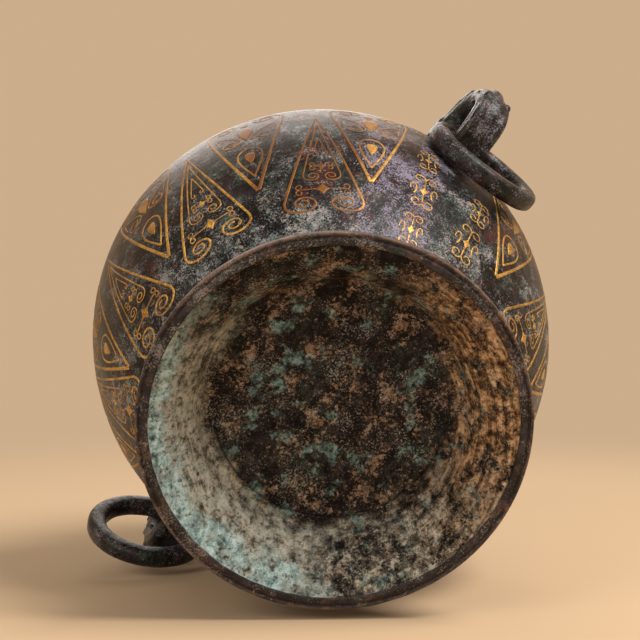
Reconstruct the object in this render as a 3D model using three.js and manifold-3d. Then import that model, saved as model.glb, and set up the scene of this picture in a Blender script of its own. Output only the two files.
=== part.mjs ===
// Bronze lidded jar with two loose ring handles on beast-head lugs.
// Millimetres, +Z up the jar's axis, origin at the middle of the foot's underside.
// The two lugs stand on +X and -X.
import * as THREE from 'three';
import { mergeVertices } from 'three/addons/utils/BufferGeometryUtils.js';
import Module from 'manifold-3d';

const wasm = await Module();
wasm.setup();

// Driving dimensions of the vessel
const bellyRadius = 110;
const bellyHeight = 134;
const wall = 5;
const shoulderTop = 192;
const neckRadius = 59;
const neckHeight = 18;
const mouthOverhang = 4;
const mouthLipHeight = 6;

// Driving dimensions of the foot
const footRimRadius = 81;
const footRimHeight = 4;
const footLipWidth = 5.5;
const footNeckRadius = 63;
const footNeckWidth = 7;
const footHeight = 27;
const footFillet = 6;

// Driving dimensions of the lid and its knob
const lidRimHeight = 5;
const lidRise = 20;
const lidWall = 4;
const lidOverhang = 1;
const flangeDepth = 12;
const flangeWall = 3.5;
const flangeClearance = 0.8;
const knobSeatRadius = 15;
const knobBaseRadius = 12;
const knobWaistRadius = 8;
const knobTopRadius = 20;
const knobHeight = 20;

// Driving dimensions of the lugs
const loopAboveBelly = 7;
const loopReach = 35;
const loopOverWire = 21;
const loopUnderWire = 16;
const archThickness = 13;
const barThickness = 10;
const rootWidth = 28;
const headWidth = 21;
const barWidth = 10;

// Driving dimensions of the rings
const ringRadius = 25;
const wireWidth = 9.5;
const wireCornerRadius = 3.6;

// How the two loose rings lie, in degrees. Sideways turns a ring in its own plane about
// the place where it passes through the loop, and twist turns it about its own radius.
const rightRingSideways = 22;
const leftRingSwing = 26;
const leftRingSideways = 38;
const leftRingTwist = -31;

// Where the left-hand wire crosses its loop, out from the belly and towards -Y in the lug's frame
const leftWireOut = 12;
const leftWireAlong = 3.4;

// Clearances: between pieces that touch, and between a loose wire and the belly
const gap = 0.3;
const wireSlack = 1;

const roundSegments = 60;
const ringSegments = 36;
const knobSegments = 36;
const barSegments = 16;
const bellySteps = 9;

function bronze(color, roughness) {
  return new THREE.MeshStandardMaterial({ color, roughness, metalness: 0.75 });
}

function named(name, geometry, color, roughness) {
  const mesh = new THREE.Mesh(geometry, bronze(color, roughness));
  mesh.name = name;
  return mesh;
}

function at(radius, height) {
  return new THREE.Vector2(radius, height);
}

// Points of an ellipse arc in the radius and height plane, angles in degrees
function arc(centre, across, up, from, to, steps) {
  const points = [];
  for (let i = 0; i <= steps; i += 1) {
    const angle = THREE.MathUtils.degToRad(from + ((to - from) * i) / steps);
    const radius = Math.max(centre.x + across * Math.cos(angle), 0);
    points.push(at(radius, centre.y + up * Math.sin(angle)));
  }
  return points;
}

function bend(start, pull, end, steps) {
  return new THREE.QuadraticBezierCurve(start, pull, end).getPoints(steps);
}

// A profile turned round the Z axis
function turned(points, segments) {
  const geometry = new THREE.LatheGeometry(points, segments);
  geometry.rotateX(Math.PI / 2);
  return geometry;
}

function toSolid(geometry) {
  const bare = geometry.clone();
  bare.deleteAttribute('normal');
  bare.deleteAttribute('uv');
  const merged = mergeVertices(bare, 1e-4);
  const index = merged.index.array;
  const triangles = [];
  for (let i = 0; i < index.length; i += 3) {
    const [a, b, c] = [index[i], index[i + 1], index[i + 2]];
    if (a !== b && b !== c && c !== a) triangles.push(a, b, c);
  }
  return new wasm.Manifold(new wasm.Mesh({
    numProp: 3,
    vertProperties: new Float32Array(merged.attributes.position.array),
    triVerts: new Uint32Array(triangles),
  }));
}

function toGeometry(solid) {
  const mesh = solid.getMesh();
  const geometry = new THREE.BufferGeometry();
  geometry.setAttribute('position', new THREE.BufferAttribute(mesh.vertProperties, 3));
  geometry.setIndex(new THREE.BufferAttribute(mesh.triVerts, 1));
  geometry.computeVertexNormals();
  return geometry;
}

// The belly is two ellipse quarters that meet at its widest place: the lower one ends
// at the foot and the upper one at the neck.
const baseHeight = footHeight + gap;
const neckInside = neckRadius - wall;
const bellyMiddle = at(0, bellyHeight);
const loopHeight = bellyHeight + loopAboveBelly;
const lowerRise = (bellyHeight - baseHeight) / Math.sqrt(1 - (footNeckRadius / bellyRadius) ** 2);
const upperRise = (shoulderTop - bellyHeight) / Math.sqrt(1 - (neckRadius / bellyRadius) ** 2);

function bellyRadiusAt(height) {
  const rise = height < bellyHeight ? lowerRise : upperRise;
  return bellyRadius * Math.sqrt(1 - ((height - bellyHeight) / rise) ** 2);
}

function degreesWhereRadiusIs(radius, across) {
  return THREE.MathUtils.radToDeg(Math.acos(radius / across));
}

function bellyOutside(offset, steps) {
  const low = degreesWhereRadiusIs(footNeckRadius, bellyRadius);
  const high = degreesWhereRadiusIs(neckRadius, bellyRadius);
  const across = bellyRadius + offset;
  const lower = arc(bellyMiddle, across, lowerRise + offset, -low, 0, steps);
  const upper = arc(bellyMiddle, across, upperRise + offset, 0, high, steps);
  return [...lower, ...upper.slice(1)];
}

function jarBody() {
  const inner = bellyRadius - wall;
  const innerLow = lowerRise - wall;
  const innerHigh = upperRise - wall;
  const floor = baseHeight + wall;
  const drop = (bellyHeight - floor) / innerLow;
  const floorDegrees = THREE.MathUtils.radToDeg(Math.asin(drop));
  const high = degreesWhereRadiusIs(neckInside, inner);
  const profile = [
    at(0, baseHeight),
    ...bellyOutside(0, bellySteps),
    at(neckInside, shoulderTop),
    ...arc(bellyMiddle, inner, innerHigh, high, 0, 6),
    ...arc(bellyMiddle, inner, innerLow, 0, -floorDegrees, 7).slice(1),
    at(0, floor),
  ];
  return named('jar_body', turned(profile, roundSegments), 0x3a302c, 0.5);
}

const neckSeat = shoulderTop + gap;
const mouthHeight = neckSeat + neckHeight;
const mouthRadius = neckRadius + mouthOverhang;

// The neck draws in a little, then turns out to the lip of the mouth
function neckCollar() {
  const lipFoot = mouthHeight - mouthLipHeight;
  const round = 1;
  const waist = at(neckRadius - 2.5, neckSeat + neckHeight * 0.4);
  const profile = [
    at(neckInside, neckSeat),
    ...bend(at(neckRadius, neckSeat), waist, at(mouthRadius - round, lipFoot), 6),
    at(mouthRadius, lipFoot + round),
    at(mouthRadius, mouthHeight - round),
    at(mouthRadius - round, mouthHeight),
    at(neckInside + round, mouthHeight),
    at(neckInside, mouthHeight - round),
    at(neckInside, neckSeat),
  ];
  return named('neck_collar', turned(profile, roundSegments), 0x392f2b, 0.5);
}

// The foot flares outward to a flat rim. Its inside follows the same sweep, and a fillet
// leads it on to the jar's base.
function footRing() {
  const rimInside = footRimRadius - footLipWidth;
  const topInside = footNeckRadius - footNeckWidth;
  const round = 0.7;
  const flareEnd = at(footRimRadius - 2 * round, footRimHeight);
  const flarePull = at(footNeckRadius + 4.5, footHeight * 0.45);
  const bellPull = at(topInside + 6.5, footHeight * 0.37);
  const filletTop = at(topInside - footFillet, footHeight);
  const filletEnd = at(topInside + 1, footHeight - footFillet);
  const filletThin = 0.6;
  const profile = [
    at(rimInside, 0),
    at(footRimRadius - round, 0),
    at(footRimRadius, round),
    at(footRimRadius, footRimHeight - round),
    ...bend(flareEnd, flarePull, at(footNeckRadius, footHeight), 7),
    filletTop,
    ...bend(at(filletTop.x, footHeight - filletThin), at(topInside, footHeight - filletThin),
      filletEnd, 4),
    ...bend(filletEnd, bellPull, at(rimInside, 2), 7).slice(1),
    at(rimInside, 0),
  ];
  return named('foot_ring', turned(profile, roundSegments), 0x35291f, 0.55);
}

const lidSeat = mouthHeight + gap;
const lidTop = lidSeat + lidRimHeight + lidRise;

function lid() {
  const rimRadius = mouthRadius + lidOverhang;
  const flangeOutside = neckInside - flangeClearance;
  const flangeInside = flangeOutside - flangeWall;
  const flangeFoot = mouthHeight - flangeDepth;
  const round = 0.8;
  const insideRise = lidRimHeight + lidRise - lidWall;
  const domeMiddle = at(0, lidSeat + lidRimHeight);
  const seatDegrees = degreesWhereRadiusIs(knobSeatRadius, rimRadius - 3);
  const profile = [
    ...arc(at(0, lidSeat), flangeInside, insideRise, 90, 0, 6),
    at(flangeInside, flangeFoot),
    at(flangeOutside - round, flangeFoot),
    at(flangeOutside, flangeFoot + round),
    at(flangeOutside, lidSeat),
    at(rimRadius - round, lidSeat),
    at(rimRadius, lidSeat + round),
    at(rimRadius, lidSeat + lidRimHeight - round),
    at(rimRadius - round, lidSeat + lidRimHeight),
    ...arc(domeMiddle, rimRadius - 3, lidRise, 4, seatDegrees, 7),
    at(knobSeatRadius - 1, lidTop),
    at(0, lidTop),
  ];
  return named('lid', turned(profile, roundSegments), 0x382d28, 0.5);
}

function lidKnob() {
  const seat = lidTop + gap;
  const top = seat + knobHeight;
  const waist = seat + knobHeight * 0.4;
  const rimHeight = 3;
  const round = 0.6;
  const dish = knobTopRadius - 3;
  const profile = [
    at(0, seat),
    at(knobBaseRadius, seat),
    at(knobBaseRadius, seat + 2),
    at(knobWaistRadius + 1, seat + 4),
    ...bend(at(knobWaistRadius, waist), at(knobWaistRadius, top - rimHeight - 1),
      at(knobTopRadius, top - rimHeight), 5),
    at(knobTopRadius + round, top - rimHeight + round),
    at(knobTopRadius + round, top - round),
    at(knobTopRadius, top),
    ...arc(at(0, top), dish, -3, 0, 90, 4),
  ];
  return named('lid_knob', turned(profile, knobSegments), 0x3c3029, 0.45);
}

// A flattened bar along stations in space. Each station has its place x, y, z, its half
// width along Y and its half thickness square to the path.
function sweptBar(stations, around) {
  const places = stations.map((s) => new THREE.Vector3(s.x, s.y, s.z));
  const curve = new THREE.CatmullRomCurve3(places, false, 'centripetal');
  const spans = stations.length - 1;
  const steps = spans * 3;
  const positions = [];
  const index = [];
  for (let i = 0; i <= steps; i += 1) {
    const scaled = (i / steps) * spans;
    const before = Math.min(Math.floor(scaled), spans - 1);
    const blend = scaled - before;
    const width = THREE.MathUtils.lerp(stations[before].width, stations[before + 1].width, blend);
    const thick = THREE.MathUtils.lerp(stations[before].thick, stations[before + 1].thick, blend);
    const centre = curve.getPoint(i / steps);
    const tangent = curve.getTangent(i / steps);
    const inPlane = Math.hypot(tangent.x, tangent.z);
    for (let j = 0; j < around; j += 1) {
      const angle = (2 * Math.PI * j) / around;
      const out = (Math.sin(angle) * thick) / inPlane;
      const across = Math.cos(angle) * width;
      positions.push(centre.x - tangent.z * out, centre.y + across, centre.z + tangent.x * out);
    }
  }
  const startCap = positions.length / 3;
  const endCap = startCap + 1;
  positions.push(...places[0].toArray(), ...places[spans].toArray());
  for (let i = 0; i < steps; i += 1) {
    for (let j = 0; j < around; j += 1) {
      const a = i * around + j;
      const b = i * around + ((j + 1) % around);
      index.push(a, b, a + around, b, b + around, a + around);
    }
  }
  for (let j = 0; j < around; j += 1) {
    const next = (j + 1) % around;
    index.push(startCap, next, j);
    index.push(endCap, steps * around + j, steps * around + next);
  }
  const geometry = new THREE.BufferGeometry();
  geometry.setAttribute('position', new THREE.Float32BufferAttribute(positions, 3));
  geometry.setIndex(index);
  return geometry;
}

function station(x, y, z, width, thick) {
  return { x, y, z, width, thick };
}

function bead(x, y, z, radius) {
  const geometry = new THREE.SphereGeometry(radius, 10, 6);
  geometry.translate(x, y, z);
  return toSolid(geometry);
}

// The lug is a loop in the radial plane. A beast's head arches out from the shoulder and
// down, and a narrow bar runs back from its jaw to the belly, through the ring.
function lugSolid() {
  const arch = archThickness / 2;
  const bar = barThickness / 2;
  const root = rootWidth / 2;
  const head = headWidth / 2;
  const tail = barWidth / 2;
  const belly = bellyRadiusAt(loopHeight);
  const front = belly + loopReach - arch;
  const over = loopHeight + loopOverWire;
  const under = loopHeight - loopUnderWire;
  const loop = [
    station(belly - 22, 0, over - 3, root, arch),
    station(belly - 11, 0, over + 2, root, arch * 1.05),
    station(belly, 0, over + 3, root * 0.94, arch),
    station(belly + loopReach * 0.28, 0, over + 2, head * 1.05, arch * 0.95),
    station(front - 8, 0, over - 2, head * 0.97, arch * 0.95),
    station(front - 1.5, 0, over - 10, head, arch),
    station(front, 0, loopHeight, head, arch),
    station(front - 3.5, 0, loopHeight - loopUnderWire * 0.66, head * 0.92, arch * 0.92),
    station(front - 12, 0, under + 0.5, head * 0.68, bar * 1.1),
    station(belly + loopReach * 0.3, 0, under, tail, bar),
    station(belly, 0, under, tail, bar),
    station(belly - 12, 0, under + 1, tail * 1.1, bar),
  ];
  let solid = toSolid(sweptBar(loop, barSegments));
  for (const side of [-1, 1]) {
    const brow = [
      station(belly - 6, side * root * 0.5, over + 6, 2.4, 2.6),
      station(belly + 8, side * head * 0.62, over + 7.6, 3.4, 3.2),
      station(front - 7, side * head * 0.52, over + 3.4, 3, 2.8),
      station(front + 3.4, side * head * 0.46, over - 8, 2.6, 2.6),
      station(front + 5.4, side * head * 0.5, loopHeight + 1, 3.2, 2.6),
    ];
    const ear = [
      station(belly - 2, side * root * 0.72, over + 3, 2.4, 3),
      station(belly + 4, side * root * 1.02, over + 6, 2.6, 4),
      station(belly + 10, side * root * 1.04, over + 8.5, 1.4, 1.8),
    ];
    solid = solid.add(toSolid(sweptBar(brow, 10)));
    solid = solid.add(toSolid(sweptBar(ear, 10)));
    solid = solid.add(bead(front - 4, side * head * 0.92, over - 3, 2.7));
    solid = solid.add(bead(front + 4, side * head * 0.5, loopHeight - 5.5, 3));
  }
  return solid;
}

function lug(name) {
  const profile = [
    at(0, baseHeight),
    ...bellyOutside(gap, bellySteps),
    at(0, shoulderTop + gap),
  ];
  const belly = toSolid(turned(profile, roundSegments));
  return named(name, toGeometry(lugSolid().subtract(belly)), 0x2b2f29, 0.5);
}

// A ring of rounded-square wire. It hangs down from the origin, in the YZ plane.
function ring(name) {
  const flat = wireWidth / 2 - wireCornerRadius;
  const corners = [[1, -1], [1, 1], [-1, 1], [-1, -1]];
  const cornerSteps = 2;
  const section = [];
  corners.forEach(([across, up], i) => {
    const middle = at(ringRadius + across * flat, up * flat);
    const start = -90 + i * 90;
    section.push(...arc(middle, wireCornerRadius, wireCornerRadius, start, start + 90, cornerSteps));
  });
  section.push(section[0].clone());
  const geometry = turned(section, ringSegments);
  geometry.rotateY(Math.PI / 2);
  geometry.translate(0, 0, -ringRadius);
  return named(name, geometry, 0x2d302b, 0.45);
}

const upAxis = new THREE.Vector3(0, 0, 1);
const outAxis = new THREE.Vector3(1, 0, 0);
const sideAxis = new THREE.Vector3(0, 1, 0);

// Swing moves the ring away from the belly
function ringTurn(swing, sideways, twist) {
  const turn = new THREE.Quaternion();
  const add = (axis, degrees) => {
    turn.multiply(new THREE.Quaternion().setFromAxisAngle(axis, THREE.MathUtils.degToRad(degrees)));
  };
  add(sideAxis, -swing);
  add(outAxis, sideways);
  add(upAxis, twist);
  return turn;
}

// How far a ring leans in, from held out, before its wire meets the belly, in degrees
function leanOnBelly(hinge, sideways) {
  const reach = wireWidth / 2 + gap;
  const samples = 36;
  const profile = bellyOutside(0, 60);
  const isClear = (lean) => {
    const turn = ringTurn(-lean, sideways, 0);
    for (let i = 1; i < samples; i += 1) {
      const angle = (2 * Math.PI * i) / samples;
      const down = ringRadius * (Math.cos(angle) - 1);
      const point = new THREE.Vector3(0, ringRadius * Math.sin(angle), down);
      point.applyQuaternion(turn).add(hinge);
      const radius = Math.hypot(point.x, point.y);
      for (const p of profile) {
        if (Math.hypot(p.x - radius, p.y - point.z) < reach) return false;
      }
    }
    return true;
  };
  const step = 0.1;
  const mostLean = 40;
  let lean = -mostLean;
  while (lean < mostLean && isClear(lean + step)) lean += step;
  return lean;
}

function placedRing(name, hinge, turn) {
  const mesh = ring(name);
  mesh.position.copy(hinge);
  mesh.quaternion.copy(turn);
  return mesh;
}

function handle(side, degrees, hinge, turn) {
  const group = new THREE.Group();
  group.add(lug(`lug_${side}`), placedRing(`ring_${side}`, hinge, turn));
  group.rotation.z = THREE.MathUtils.degToRad(degrees);
  return group;
}

// The right-hand ring leans on the belly. The left-hand ring lies out from it.
const bellyAtLoop = bellyRadiusAt(loopHeight);
const rightHinge = new THREE.Vector3(bellyAtLoop + wireWidth / 2 + wireSlack, 0, loopHeight);
const leftHinge = new THREE.Vector3(bellyAtLoop + leftWireOut, -leftWireAlong, loopHeight);
const lean = leanOnBelly(rightHinge, rightRingSideways);
const rightTurn = ringTurn(-lean, rightRingSideways, 0);
const leftTurn = ringTurn(leftRingSwing, leftRingSideways, leftRingTwist);

const jar = new THREE.Group();
jar.name = 'bronze_lidded_jar';
jar.add(jarBody(), neckCollar(), footRing(), lid(), lidKnob());
jar.add(handle('right', 0, rightHinge, rightTurn), handle('left', 180, leftHinge, leftTurn));

export default jar;
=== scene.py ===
"""Looks of the bronze lidded jar with ring handles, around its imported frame.

Lengths are in millimetres in the part's frame and become metres when a mesh is made.
Ornament is drawn on the unrolled belly: across it in millimetres, and up it by the length
along the belly's profile from the foot.
"""

import math

import bmesh
import bpy
import numpy as np
from mathutils import Matrix, Vector, noise


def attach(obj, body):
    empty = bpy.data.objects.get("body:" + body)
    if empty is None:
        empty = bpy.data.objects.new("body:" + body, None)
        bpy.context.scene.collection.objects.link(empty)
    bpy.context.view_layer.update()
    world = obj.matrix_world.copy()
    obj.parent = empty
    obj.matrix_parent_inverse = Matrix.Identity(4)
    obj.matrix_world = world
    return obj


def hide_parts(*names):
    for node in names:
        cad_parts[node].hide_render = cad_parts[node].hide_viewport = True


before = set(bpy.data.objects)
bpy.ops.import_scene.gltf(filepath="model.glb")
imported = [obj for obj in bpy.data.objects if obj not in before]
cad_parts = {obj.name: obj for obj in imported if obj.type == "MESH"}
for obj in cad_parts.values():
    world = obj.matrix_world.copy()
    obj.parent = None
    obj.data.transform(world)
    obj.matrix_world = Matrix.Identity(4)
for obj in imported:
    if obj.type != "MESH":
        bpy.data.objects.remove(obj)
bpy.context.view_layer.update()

MM = 0.001
FULL_TURN = 2 * math.pi

# ---------------------------------------------------------------- sizes of the part
BELLY_RADIUS = 110.0
BELLY_HEIGHT = 134.0
WALL = 5.0
SHOULDER_TOP = 192.0
NECK_RADIUS = 59.0
NECK_HEIGHT = 18.0
MOUTH_OVERHANG = 4.0
LIP_HEIGHT = 6.0
FOOT_RIM_RADIUS = 81.0
FOOT_RIM_HEIGHT = 4.0
FOOT_LIP_WIDTH = 5.5
FOOT_NECK_RADIUS = 63.0
FOOT_NECK_WIDTH = 7.0
FOOT_HEIGHT = 27.0
FOOT_FILLET = 6.0
GAP = 0.3
LID_RIM_HEIGHT = 5.0
LID_RISE = 20.0
LID_WALL = 4.0
LID_OVERHANG = 1.0
FLANGE_DEPTH = 12.0
FLANGE_WALL = 3.5
FLANGE_CLEARANCE = 0.8
KNOB_SEAT_RADIUS = 15.0
KNOB_BASE_RADIUS = 12.0
KNOB_WAIST_RADIUS = 8.0
KNOB_TOP_RADIUS = 20.0
KNOB_HEIGHT = 20.0
LOOP_HEIGHT = 141.0
LOOP_REACH = 35.0
LOOP_OVER_WIRE = 21.0
LOOP_UNDER_WIRE = 16.0
ARCH_THICKNESS = 13.0
BAR_THICKNESS = 10.0
ROOT_WIDTH = 28.0
HEAD_WIDTH = 21.0
RING_RADIUS = 25.0
WIRE_WIDTH = 9.5
WIRE_CORNER = 3.6
BODY_SEGMENTS = 300
TOP_SEGMENTS = 240
KNOB_SEGMENTS = 120

BASE_HEIGHT = FOOT_HEIGHT + GAP
LOWER_RISE = (BELLY_HEIGHT - BASE_HEIGHT) / math.sqrt(1 - (FOOT_NECK_RADIUS / BELLY_RADIUS) ** 2)
UPPER_RISE = (SHOULDER_TOP - BELLY_HEIGHT) / math.sqrt(1 - (NECK_RADIUS / BELLY_RADIUS) ** 2)
NECK_INSIDE = NECK_RADIUS - WALL
NECK_SEAT = SHOULDER_TOP + GAP
MOUTH_HEIGHT = NECK_SEAT + NECK_HEIGHT
MOUTH_RADIUS = NECK_RADIUS + MOUTH_OVERHANG
LID_SEAT = MOUTH_HEIGHT + GAP
LID_TOP = LID_SEAT + LID_RIM_HEIGHT + LID_RISE

# ---------------------------------------------------------------- camera
# The photograph's view: where the eye is, what it looks along and what is level in it
EYE = Vector((147.9, -149.5, -570.1)) * MM
LOOK = Vector((-0.1938, 0.1979, 0.9609)).normalized()
IMAGE_RIGHT = Vector((0.5943, 0.8030, -0.0455))
IMAGE_RIGHT = (IMAGE_RIGHT - LOOK * IMAGE_RIGHT.dot(LOOK)).normalized()
IMAGE_UP = IMAGE_RIGHT.cross(LOOK)
FOCAL_PIXELS = 1500
IMAGE_PIXELS = 640
SENSOR = 36.0

camera_data = bpy.data.cameras.new("camera")
camera_data.sensor_width = SENSOR
camera_data.lens = SENSOR * FOCAL_PIXELS / IMAGE_PIXELS
camera_data.clip_start = 0.01
camera = bpy.data.objects.new("camera", camera_data)
bpy.context.scene.collection.objects.link(camera)
camera.matrix_world = Matrix((*zip(IMAGE_RIGHT, IMAGE_UP, -LOOK, EYE), (0, 0, 0, 1)))
bpy.context.scene.camera = camera


def from_view(right, up, towards_camera):
    """A direction given as the photograph shows it, in the part's frame."""
    return (IMAGE_RIGHT * right + IMAGE_UP * up - LOOK * towards_camera).normalized()


# ---------------------------------------------------------------- meshes
def mesh_object(name, points_mm, faces, smooth=True):
    mesh = bpy.data.meshes.new(name)
    mesh.from_pydata([tuple(p) for p in np.asarray(points_mm, float) * MM], [], faces)
    mesh.update()
    mesh.polygons.foreach_set("use_smooth", [smooth] * len(mesh.polygons))
    obj = bpy.data.objects.new(name, mesh)
    bpy.context.scene.collection.objects.link(obj)
    return obj


def fractal(point, scale, seed, octaves=3):
    """Smooth noise of a point in millimetres, about -1 to 1, with features of that scale."""
    place = Vector(point) / scale + Vector((seed * 17.3, seed * 7.9, seed * 31.7))
    return noise.fractal(place, 0.9, 2.1, octaves)


def circle(count):
    """The cosine and sine at each of count steps round a circle."""
    turns = [FULL_TURN * i / count for i in range(count)]
    return [(math.cos(turn), math.sin(turn)) for turn in turns]


def unit(vector):
    return vector / np.linalg.norm(vector)


def waves(depth, scale, seed):
    """A relief of low waves, never above the true surface."""
    return lambda point, normal: depth * (fractal(point, scale, seed) - 1)


def refined(profile, step):
    """The profile with points added so that none are further apart than step."""
    points = [profile[0]]
    for start, end in zip(profile, profile[1:]):
        parts = max(1, math.ceil(math.dist(start, end) / step))
        for i in range(1, parts + 1):
            points.append(tuple(a + (b - a) * i / parts for a, b in zip(start, end)))
    return points


def turned(name, profile, segments, relief):
    """A (radius, height) profile turned round the axis. It is closed, or starts and ends there."""
    closed = math.dist(profile[0], profile[-1]) < 1e-9
    rings = []
    points = []
    for radius, height in profile[:-1] if closed else profile:
        count = segments if radius > 1e-6 else 1
        rings.append([len(points) + i % count for i in range(segments)])
        points += [(radius * x, radius * y, height) for x, y in circle(count)]
    if closed:
        rings.append(rings[0])
    faces = []
    for lower, upper in zip(rings, rings[1:]):
        for i in range(segments):
            j = (i + 1) % segments
            corners = [lower[i], lower[j], upper[j], upper[i]]
            face = [c for k, c in enumerate(corners) if c != corners[k - 1]]
            if len(face) > 2:
                faces.append(face)
    obj = mesh_object(name, points, faces)
    carve(obj, relief)
    return obj


def reshape(mesh, move):
    """Puts each point where move(place, normal) says, in millimetres."""
    count = len(mesh.vertices)
    places = np.empty(count * 3)
    normals = np.empty(count * 3)
    mesh.vertices.foreach_get("co", places)
    mesh.vertex_normals.foreach_get("vector", normals)
    moved = [
        move(place, normal)
        for place, normal in zip(places.reshape(-1, 3) / MM, normals.reshape(-1, 3))
    ]
    mesh.vertices.foreach_set("co", np.array(moved).ravel() * MM)
    mesh.update()


def carve(obj, relief):
    """Moves each point along its normal by what relief gives for it, in millimetres."""
    reshape(obj.data, lambda place, normal: place + normal * relief(place, normal))


def tube_faces(rows, around, pointed=False):
    """Faces between rows of points. Each end is a cap, or runs to a point listed after the rows."""
    faces = [
        [i * around + j, i * around + (j + 1) % around,
         (i + 1) * around + (j + 1) % around, (i + 1) * around + j]
        for i in range(rows - 1) for j in range(around)
    ]
    first = list(range(around))
    last = [(rows - 1) * around + j for j in first]
    if not pointed:
        return faces + [first[::-1], last]
    for j in first:
        k = (j + 1) % around
        faces += [[k, j, rows * around], [last[j], last[k], rows * around + 1]]
    return faces


def joined(parts):
    """The points and faces of several forms as those of one."""
    points = []
    faces = []
    for part_points, part_faces in parts:
        first = len(points)
        points.extend(part_points)
        faces.extend([[first + i for i in face] for face in part_faces])
    return points, faces


def arc(centre, across, up, start, end, steps):
    points = []
    for i in range(steps + 1):
        angle = math.radians(start + (end - start) * i / steps)
        radius = centre[0] + across * math.cos(angle)
        points.append((max(radius, 0), centre[1] + up * math.sin(angle)))
    return points


def bend(start, pull, end, steps):
    points = []
    for i in range(steps + 1):
        t = i / steps
        points.append(tuple(
            (1 - t) ** 2 * a + 2 * t * (1 - t) * b + t * t * c for a, b, c in zip(start, pull, end)
        ))
    return points


def degrees_where(radius, across):
    return math.degrees(math.acos(radius / across))


# ---------------------------------------------------------------- the belly's surface
def belly_profile():
    angles = np.linspace(
        -math.acos(FOOT_NECK_RADIUS / BELLY_RADIUS), math.acos(NECK_RADIUS / BELLY_RADIUS), 2400
    )
    rise = np.where(angles < 0, LOWER_RISE, UPPER_RISE)
    radius = BELLY_RADIUS * np.cos(angles)
    height = BELLY_HEIGHT + rise * np.sin(angles)
    length = np.concatenate(([0], np.cumsum(np.hypot(np.diff(radius), np.diff(height)))))
    return length, radius, height


PROFILE_LENGTH, PROFILE_RADIUS, PROFILE_HEIGHT = belly_profile()


def rise_at(height):
    return LOWER_RISE if height < BELLY_HEIGHT else UPPER_RISE


def belly_relief(point):
    """Low hammered waves in the belly's surface, always inwards from its true size."""
    return -0.12 + 0.1 * fractal(point, 28, 1, 2)


def on_belly(degrees, across, along, lift):
    """The place that lies across from the meridian at those degrees and along it from the foot."""
    radius = np.interp(along, PROFILE_LENGTH, PROFILE_RADIUS)
    height = np.interp(along, PROFILE_LENGTH, PROFILE_HEIGHT)
    angle = math.radians(degrees) + across / radius
    place = Vector((radius * math.cos(angle), radius * math.sin(angle), height))
    steepness = (height - BELLY_HEIGHT) * (BELLY_RADIUS / rise_at(height)) ** 2
    out = Vector((place.x, place.y, steepness)).normalized()
    return place + out * (belly_relief(place) + lift)


# ---------------------------------------------------------------- vessel
def jar_body():
    inner = BELLY_RADIUS - WALL
    floor = BASE_HEIGHT + WALL
    low = degrees_where(FOOT_NECK_RADIUS, BELLY_RADIUS)
    high = degrees_where(NECK_RADIUS, BELLY_RADIUS)
    floor_degrees = math.degrees(math.asin((BELLY_HEIGHT - floor) / (LOWER_RISE - WALL)))
    middle = (0, BELLY_HEIGHT)
    base = refined([(0, BASE_HEIGHT), (FOOT_NECK_RADIUS, BASE_HEIGHT)], 2.5)
    outside = (
        arc(middle, BELLY_RADIUS, LOWER_RISE, -low, 0, 90)
        + arc(middle, BELLY_RADIUS, UPPER_RISE, 0, high, 60)[1:]
    )
    inside = (
        arc(middle, inner, UPPER_RISE - WALL, degrees_where(NECK_INSIDE, inner), 0, 30)
        + arc(middle, inner, LOWER_RISE - WALL, 0, -floor_degrees, 40)[1:]
    )
    profile = base + outside[1:] + [(NECK_INSIDE, SHOULDER_TOP)] + inside + [(0, floor)]

    def relief(point, normal):
        radius = math.hypot(point[0], point[1])
        if point[2] < BASE_HEIGHT + 0.01 and radius < FOOT_NECK_RADIUS - 1:
            return 0.2 * fractal(point, 9, 4) - 0.25
        if point[0] * normal[0] + point[1] * normal[1] > 0 and radius > NECK_RADIUS + 0.5:
            return belly_relief(point)
        return 0.0

    body = turned("jar_body_shell", profile, BODY_SEGMENTS, relief)
    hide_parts("jar_body")
    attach(body, "jar")
    return body


def neck_collar():
    foot = MOUTH_HEIGHT - LIP_HEIGHT
    corner = 1.0
    waist = (NECK_RADIUS - 2.5, NECK_SEAT + NECK_HEIGHT * 0.4)
    profile = [
        (NECK_INSIDE, NECK_SEAT),
        *bend((NECK_RADIUS, NECK_SEAT), waist, (MOUTH_RADIUS - corner, foot), 16),
        *arc((MOUTH_RADIUS - corner, foot + corner), corner, corner, -60, 0, 3),
        *arc((MOUTH_RADIUS - corner, MOUTH_HEIGHT - corner), corner, corner, 0, 90, 5),
        *arc((NECK_INSIDE + corner, MOUTH_HEIGHT - corner), corner, corner, 90, 180, 5),
        (NECK_INSIDE, NECK_SEAT),
    ]
    collar = turned("neck_collar_shell", refined(profile, 2), TOP_SEGMENTS, waves(0.08, 14, 6))
    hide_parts("neck_collar")
    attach(collar, "jar")
    return collar


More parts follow.
